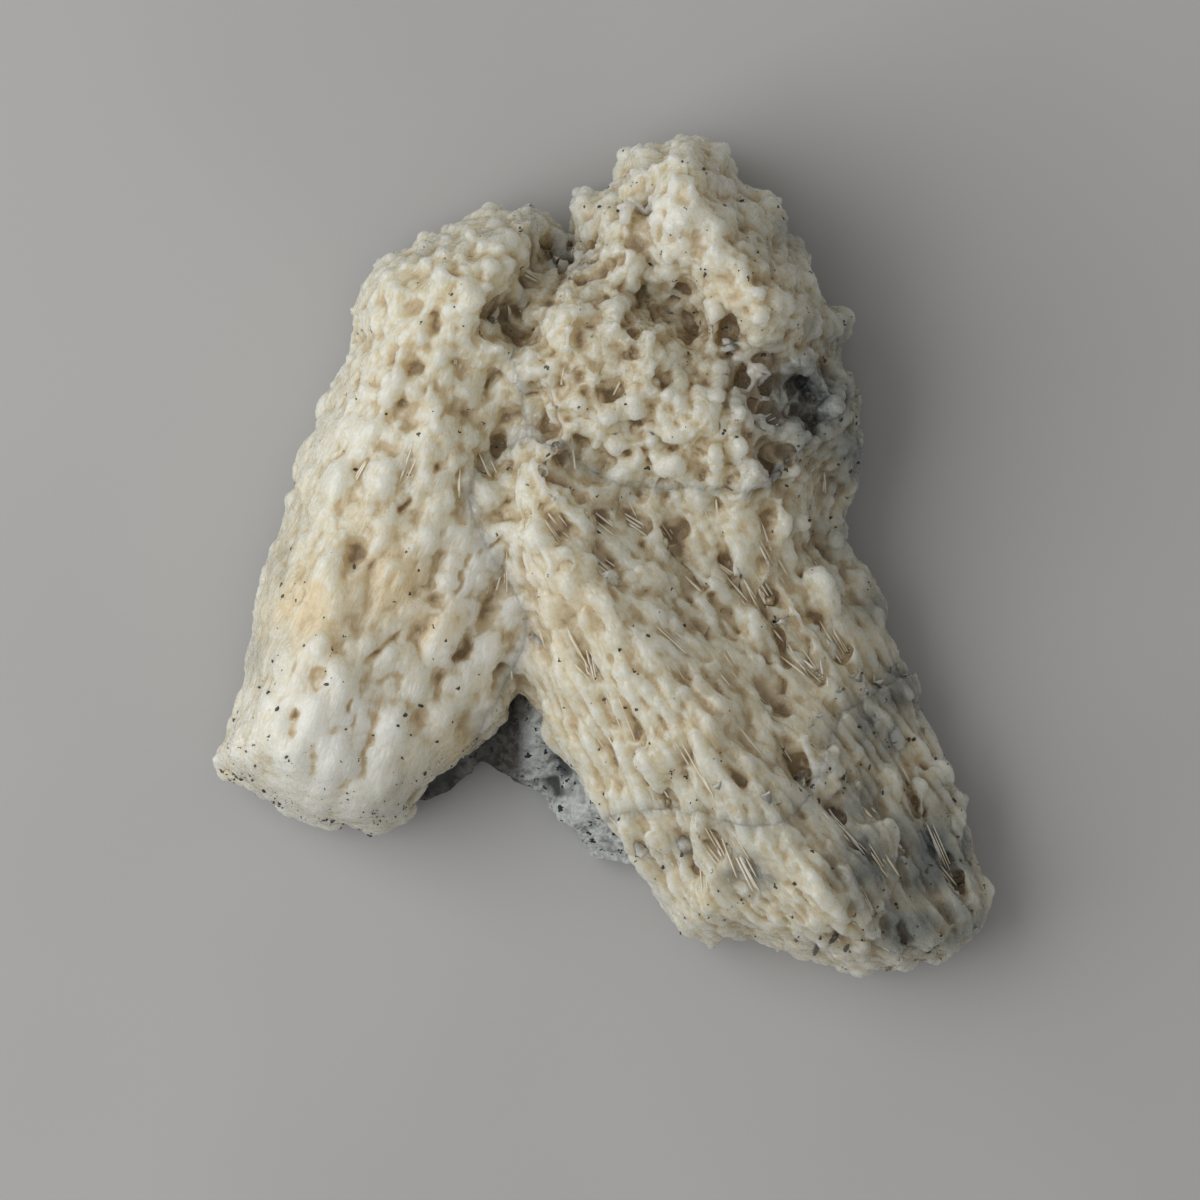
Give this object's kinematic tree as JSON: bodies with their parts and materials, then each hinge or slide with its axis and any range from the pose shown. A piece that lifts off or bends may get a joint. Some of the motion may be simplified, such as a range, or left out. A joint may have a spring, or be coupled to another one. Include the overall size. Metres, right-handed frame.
{
  "type": "calcite specimen",
  "caption": "Hand-sized calcite specimen: waxy blunt crystals fused into two sprays over a plate of grey rock, lying flat on the back of the rock.",
  "frame": {"origin": "centre of the outline's box, on the flat back of the rock", "axes": "+Z out of the crystal face, +Y up the specimen towards its crown, +X to the right seen from the face"},
  "size_m": [0.1139, 0.1225, 0.0401],
  "materials": {
    "calcite": "waxy, slightly translucent",
    "rock": "matt, speckled"
  },
  "bodies": {
    "root": {"calcite": "calcite", "rock": "rock"}
  },
  "joints": []
}
